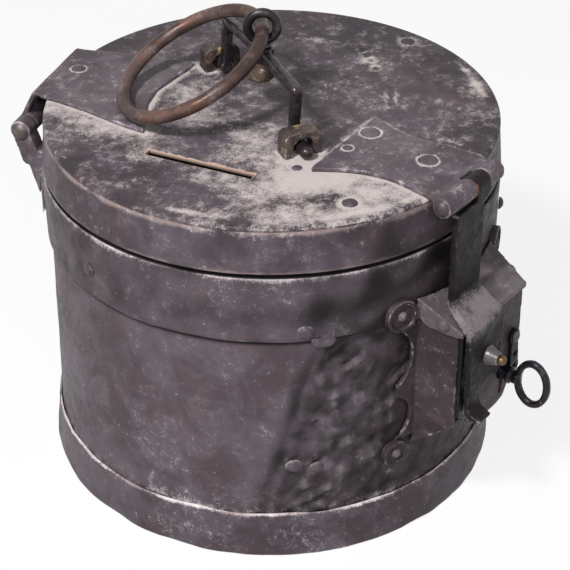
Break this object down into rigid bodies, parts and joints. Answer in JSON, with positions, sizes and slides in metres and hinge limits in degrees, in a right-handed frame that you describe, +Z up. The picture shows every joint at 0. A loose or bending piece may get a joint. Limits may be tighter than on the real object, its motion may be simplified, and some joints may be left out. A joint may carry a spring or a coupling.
{
  "type": "alms box",
  "caption": "Round forged-iron alms box with a hinged lid, coin slot, lifting ring on a swivelling bail, and a hasp over a lock case with its key.",
  "frame": {"origin": "on the drum's axis, in the plane of the foot that the box stands on", "axes": "+Z up along the drum's axis, -Y towards the lock case, +X to the right when the lock is faced"},
  "size_m": [0.209, 0.2586, 0.2155],
  "materials": {
    "forged_iron": "forged sheet iron, purple-grey, pitted, with pale dusty deposits",
    "dark_iron": "forged iron, nearly black, worn brighter at its edges",
    "pale_iron": "forged iron, dull grey with a rubbed surface",
    "worn_iron": "forged iron rubbed smooth, red-brown patina",
    "bright_steel": "bare steel, scratched and dulled",
    "rusty_brass": "brown brass with rust over it",
    "brass": "old brass, rubbed bright on top"
  },
  "bodies": {
    "drum": {"body_shell": "forged_iron", "base_plate": "dark_iron", "base_band": "forged_iron", "upper_band": "forged_iron", "body_rivets": "forged_iron", "hinge_body_leaf": "dark_iron", "hinge_pin": "bright_steel", "lock_wall_left": "forged_iron", "lock_wall_right": "forged_iron", "lock_roof": "pale_iron", "lock_bottom": "dark_iron", "lock_front": "dark_iron", "lock_back": "dark_iron", "lock_ears": "forged_iron", "lock_rivets": "pale_iron", "key_post": "bright_steel", "bolt_studs": "bright_steel", "bolt_keeper": "dark_iron", "bolt_spring": "bright_steel", "cover_pin": "bright_steel"},
    "lid": {"lid_plate": "forged_iron", "lid_skirt": "forged_iron", "hinge_lid_strap": "dark_iron", "hasp_lid_plate": "dark_iron", "hasp_pin": "bright_steel", "lid_rivets": "forged_iron", "staple_front": "dark_iron", "staple_rear": "dark_iron"},
    "hasp": {"hasp": "dark_iron", "hasp_knob": "bright_steel", "hasp_knob_tip": "brass", "hasp_loop": "dark_iron"},
    "bail": {"bail": "dark_iron"},
    "swivel": {"swivel_eye": "dark_iron", "swivel_button": "rusty_brass"},
    "ring": {"carry_ring": "worn_iron"},
    "key": {"key": "dark_iron"},
    "bolt": {"lock_bolt": "bright_steel"},
    "cover": {"keyhole_cover": "dark_iron"}
  },
  "joints": [
    {"name": "lid_hinge", "type": "hinge", "parent": "drum", "child": "lid", "pos_m": [-0.033, 0.10157, 0.1542], "axis": [-0.9511, -0.309, 0], "range_deg": [0, 100]},
    {"name": "hasp_hinge", "type": "hinge", "parent": "lid", "child": "hasp", "pos_m": [0, -0.1055, 0.1678], "axis": [-1, 0, 0], "range_deg": [0, 150]},
    {"name": "bail_tilt", "type": "hinge", "parent": "lid", "child": "bail", "pos_m": [-0.0037, 0.0046, 0.1719], "axis": [0.4695, 0.8829, 0], "range_deg": [0, 65]},
    {"name": "swivel_turn", "type": "hinge", "parent": "bail", "child": "swivel", "pos_m": [-0.0037, 0.0046, 0.1719], "axis": [0.0539, -0.0287, 0.9981], "range_deg": [-2, 28]},
    {"name": "ring_swing", "type": "hinge", "parent": "swivel", "child": "ring", "pos_m": [-0.00186, 0.00362, 0.20603], "axis": [0.7543, 0.652, 0.0771], "range_deg": [0, 120]},
    {"name": "key_turn", "type": "hinge", "parent": "drum", "child": "key", "pos_m": [0.0105, -0.119, 0.0725], "axis": [0, -1, 0], "range_deg": [0, 50]},
    {"name": "bolt_slide", "type": "slide", "parent": "drum", "child": "bolt", "axis": [-1, 0, 0], "range_m": [0, 0.0084]},
    {"name": "cover_swing", "type": "hinge", "parent": "drum", "child": "cover", "pos_m": [0.0172, -0.1201, 0.0882], "axis": [0, -1, 0], "range_deg": [0, 150]}
  ],
  "couplings": [
    {"joint": "key_turn", "follows": "bolt_slide", "rad_per_m": 103.89}
  ]
}
